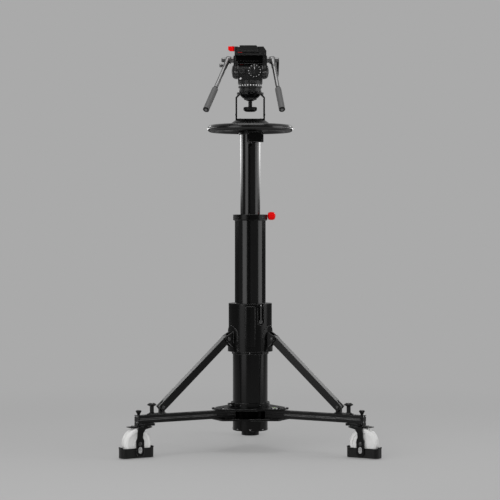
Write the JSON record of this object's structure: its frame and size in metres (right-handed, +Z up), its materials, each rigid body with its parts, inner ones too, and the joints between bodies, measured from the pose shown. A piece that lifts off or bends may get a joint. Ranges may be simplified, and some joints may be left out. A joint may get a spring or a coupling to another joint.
{
  "type": "camera pedestal",
  "caption": "Black rolling camera pedestal: telescoping column on a braced tripod base with castors, steering ring and a fluid head with two pan bars.",
  "frame": {"origin": "on the floor under the column's axis", "axes": "+Z up along the column, -Y towards the operator, +X to the operator's right"},
  "size_m": [1.0774, 0.9371, 1.7167],
  "materials": {
    "satin_black": "black anodised, satin",
    "black_plastic": "moulded, matte",
    "white_plastic": "moulded, smooth",
    "grey_rubber": "matte",
    "red_plastic": "gloss",
    "bright_metal": "bright",
    "dark_steel": "blackened",
    "bar_metal": "grey anodised"
  },
  "bodies": {
    "base": {"hub_lower_plate": "satin_black", "hub_upper_plate": "satin_black", "core_tube": "satin_black", "base_cup": "satin_black", "base_tube": "satin_black", "housing": "satin_black", "clamp_ring": "satin_black", "spirit_level": "bright_metal", "air_valve": "bright_metal", "hub_bolts": "dark_steel", "brace_pins": "dark_steel", "leg_rear": "satin_black", "leg_end_rear": "satin_black"},
    "leg_left_body": {"leg_left": "satin_black", "leg_end_left": "satin_black"},
    "leg_right_body": {"leg_right": "satin_black", "leg_end_right": "satin_black"},
    "lock_knob_left_body": {"lock_knob_left": "black_plastic"},
    "castor_left": {"fork_left": "satin_black", "guard_left": "black_plastic"},
    "wheel_left_body": {"wheel_left": "white_plastic"},
    "brace_left_body": {"brace_left": "satin_black"},
    "foot_left_body": {"brace_foot_left": "satin_black"},
    "pull_left_body": {"pull_knob_left": "black_plastic"},
    "lock_knob_right_body": {"lock_knob_right": "black_plastic"},
    "castor_right": {"fork_right": "satin_black", "guard_right": "black_plastic"},
    "wheel_right_body": {"wheel_right": "white_plastic"},
    "brace_right_body": {"brace_right": "satin_black"},
    "foot_right_body": {"brace_foot_right": "satin_black"},
    "pull_right_body": {"pull_knob_right": "black_plastic"},
    "lock_knob_rear_body": {"lock_knob_rear": "black_plastic"},
    "castor_rear": {"fork_rear": "satin_black", "guard_rear": "black_plastic"},
    "wheel_rear_body": {"wheel_rear": "white_plastic"},
    "brace_rear_body": {"brace_rear": "satin_black"},
    "foot_rear_body": {"brace_foot_rear": "satin_black"},
    "pull_rear_body": {"pull_knob_rear": "black_plastic"},
    "mid_stage": {"mid_tube": "satin_black", "mid_collar": "satin_black"},
    "clamp_knob_body": {"clamp_knob": "red_plastic"},
    "top_stage": {"top_tube": "satin_black", "ring_rim": "satin_black", "ring_hub": "satin_black", "valve_block": "satin_black", "bowl_stand": "satin_black", "head_base": "satin_black"},
    "bowl_knob_body": {"bowl_knob": "black_plastic"},
    "pan_ring_body": {"pan_ring": "satin_black"},
    "pan_head": {"head_body": "satin_black"},
    "dial_body": {"tilt_dial": "satin_black"},
    "tilt_head": {"tilt_frame": "satin_black", "plate_seat": "satin_black"},
    "camera_plate_body": {"camera_plate": "satin_black"},
    "plate_lever_body": {"plate_lever": "red_plastic"},
    "handle_left_body": {"handle_left": "bar_metal", "grip_left": "grey_rubber"},
    "handle_right_body": {"handle_right": "bar_metal", "grip_right": "grey_rubber"}
  },
  "joints": [
    {"name": "leg_left_swing", "type": "hinge", "parent": "base", "child": "leg_left_body", "pos_m": [-0.11951, -0.069, 0.16], "axis": [0, 0, 1], "range_deg": [-120, 0]},
    {"name": "leg_right_swing", "type": "hinge", "parent": "base", "child": "leg_right_body", "pos_m": [0.11951, -0.069, 0.16], "axis": [0, 0, 1], "range_deg": [0, 120]},
    {"name": "lock_knob_left_turn", "type": "hinge", "parent": "leg_left_body", "child": "lock_knob_left_body", "pos_m": [-0.45899, -0.265, 0.18], "axis": [0, 0, 1], "range_deg": [0, 180]},
    {"name": "castor_left_swivel", "type": "hinge", "parent": "leg_left_body", "child": "castor_left", "pos_m": [-0.43474, -0.251, 0.134], "axis": [0, 0, 1], "continuous": true},
    {"name": "wheel_left_spin", "type": "hinge", "parent": "castor_left", "child": "wheel_left_body", "pos_m": [-0.46852, -0.2705, 0.0625], "axis": [0.5, -0.866, 0], "continuous": true},
    {"name": "brace_left_lift", "type": "hinge", "parent": "base", "child": "brace_left_body", "pos_m": [-0.10046, -0.058, 0.478], "axis": [-0.5, 0.866, 0], "range_deg": [0, 55]},
    {"name": "foot_left_hinge", "type": "hinge", "parent": "brace_left_body", "child": "foot_left_body", "pos_m": [-0.36719, -0.212, 0.205], "axis": [-0.5, 0.866, 0], "range_deg": [-55, 0]},
    {"name": "pull_left_slide", "type": "slide", "parent": "foot_left_body", "child": "pull_left_body", "axis": [0, 0, 1], "range_m": [0, 0.012], "stiffness_N_per_m": 400, "springref_m": -0.005},
    {"name": "lock_knob_right_turn", "type": "hinge", "parent": "leg_right_body", "child": "lock_knob_right_body", "pos_m": [0.45899, -0.265, 0.18], "axis": [0, 0, 1], "range_deg": [0, 180]},
    {"name": "castor_right_swivel", "type": "hinge", "parent": "leg_right_body", "child": "castor_right", "pos_m": [0.43474, -0.251, 0.134], "axis": [0, 0, 1], "continuous": true},
    {"name": "wheel_right_spin", "type": "hinge", "parent": "castor_right", "child": "wheel_right_body", "pos_m": [0.46852, -0.2705, 0.0625], "axis": [0.5, 0.866, 0], "continuous": true},
    {"name": "brace_right_lift", "type": "hinge", "parent": "base", "child": "brace_right_body", "pos_m": [0.10046, -0.058, 0.478], "axis": [-0.5, -0.866, 0], "range_deg": [0, 55]},
    {"name": "foot_right_hinge", "type": "hinge", "parent": "brace_right_body", "child": "foot_right_body", "pos_m": [0.36719, -0.212, 0.205], "axis": [-0.5, -0.866, 0], "range_deg": [-55, 0]},
    {"name": "pull_right_slide", "type": "slide", "parent": "foot_right_body", "child": "pull_right_body", "axis": [0, 0, 1], "range_m": [0, 0.012], "stiffness_N_per_m": 400, "springref_m": -0.005},
    {"name": "lock_knob_rear_turn", "type": "hinge", "parent": "base", "child": "lock_knob_rear_body", "pos_m": [0, 0.53, 0.18], "axis": [0, 0, 1], "range_deg": [0, 180]},
    {"name": "castor_rear_swivel", "type": "hinge", "parent": "base", "child": "castor_rear", "pos_m": [0, 0.502, 0.134], "axis": [0, 0, 1], "continuous": true},
    {"name": "wheel_rear_spin", "type": "hinge", "parent": "castor_rear", "child": "wheel_rear_body", "pos_m": [0, 0.541, 0.0625], "axis": [-1, 0, 0], "continuous": true},
    {"name": "brace_rear_lift", "type": "hinge", "parent": "base", "child": "brace_rear_body", "pos_m": [0, 0.116, 0.478], "axis": [1, 0, 0], "range_deg": [0, 55]},
    {"name": "foot_rear_hinge", "type": "hinge", "parent": "brace_rear_body", "child": "foot_rear_body", "pos_m": [0, 0.424, 0.205], "axis": [1, 0, 0], "range_deg": [-55, 0]},
    {"name": "pull_rear_slide", "type": "slide", "parent": "foot_rear_body", "child": "pull_rear_body", "axis": [0, 0, 1], "range_m": [0, 0.012], "stiffness_N_per_m": 400, "springref_m": -0.005},
    {"name": "mid_slide", "type": "slide", "parent": "base", "child": "mid_stage", "axis": [0, 0, 1], "range_m": [-0.31, 0]},
    {"name": "clamp_knob_turn", "type": "hinge", "parent": "mid_stage", "child": "clamp_knob_body", "pos_m": [0.08, 0, 0.997], "axis": [1, 0, 0], "range_deg": [0, 270]},
    {"name": "top_slide", "type": "slide", "parent": "mid_stage", "child": "top_stage", "axis": [0, 0, 1], "range_m": [-0.285, 0]},
    {"name": "bowl_knob_turn", "type": "hinge", "parent": "top_stage", "child": "bowl_knob_body", "pos_m": [0, 0, 1.46], "axis": [0, 0, 1], "continuous": true},
    {"name": "pan_ring_turn", "type": "hinge", "parent": "top_stage", "child": "pan_ring_body", "pos_m": [0, 0, 1.555], "axis": [0, 0, 1], "range_deg": [-60, 60]},
    {"name": "pan_turn", "type": "hinge", "parent": "top_stage", "child": "pan_head", "pos_m": [0, 0, 1.571], "axis": [0, 0, 1], "continuous": true},
    {"name": "tilt_turn", "type": "hinge", "parent": "pan_head", "child": "tilt_head", "pos_m": [0, 0, 1.611], "axis": [1, 0, 0], "range_deg": [-70, 15]},
    {"name": "tilt_dial_turn", "type": "hinge", "parent": "pan_head", "child": "dial_body", "pos_m": [0.018, -0.032, 1.611], "axis": [0, 1, 0], "range_deg": [-120, 120]},
    {"name": "plate_slide", "type": "slide", "parent": "tilt_head", "child": "camera_plate_body", "axis": [0, 1, 0], "range_m": [-0.03, 0.03]},
    {"name": "plate_lever_turn", "type": "hinge", "parent": "tilt_head", "child": "plate_lever_body", "pos_m": [-0.0736, -0.038, 1.7], "axis": [0, 0, 1], "range_deg": [0, 70]},
    {"name": "handle_left_turn", "type": "hinge", "parent": "tilt_head", "child": "handle_left_body", "pos_m": [-0.095, 0, 1.66], "axis": [1, 0, 0], "range_deg": [-30, 0]},
    {"name": "handle_right_turn", "type": "hinge", "parent": "tilt_head", "child": "handle_right_body", "pos_m": [0.095, 0, 1.66], "axis": [1, 0, 0], "range_deg": [-30, 0]}
  ],
  "couplings": [
    {"joint": "foot_left_hinge", "follows": "brace_left_lift", "ratio": -1},
    {"joint": "foot_right_hinge", "follows": "brace_right_lift", "ratio": -1},
    {"joint": "foot_rear_hinge", "follows": "brace_rear_lift", "ratio": -1}
  ]
}
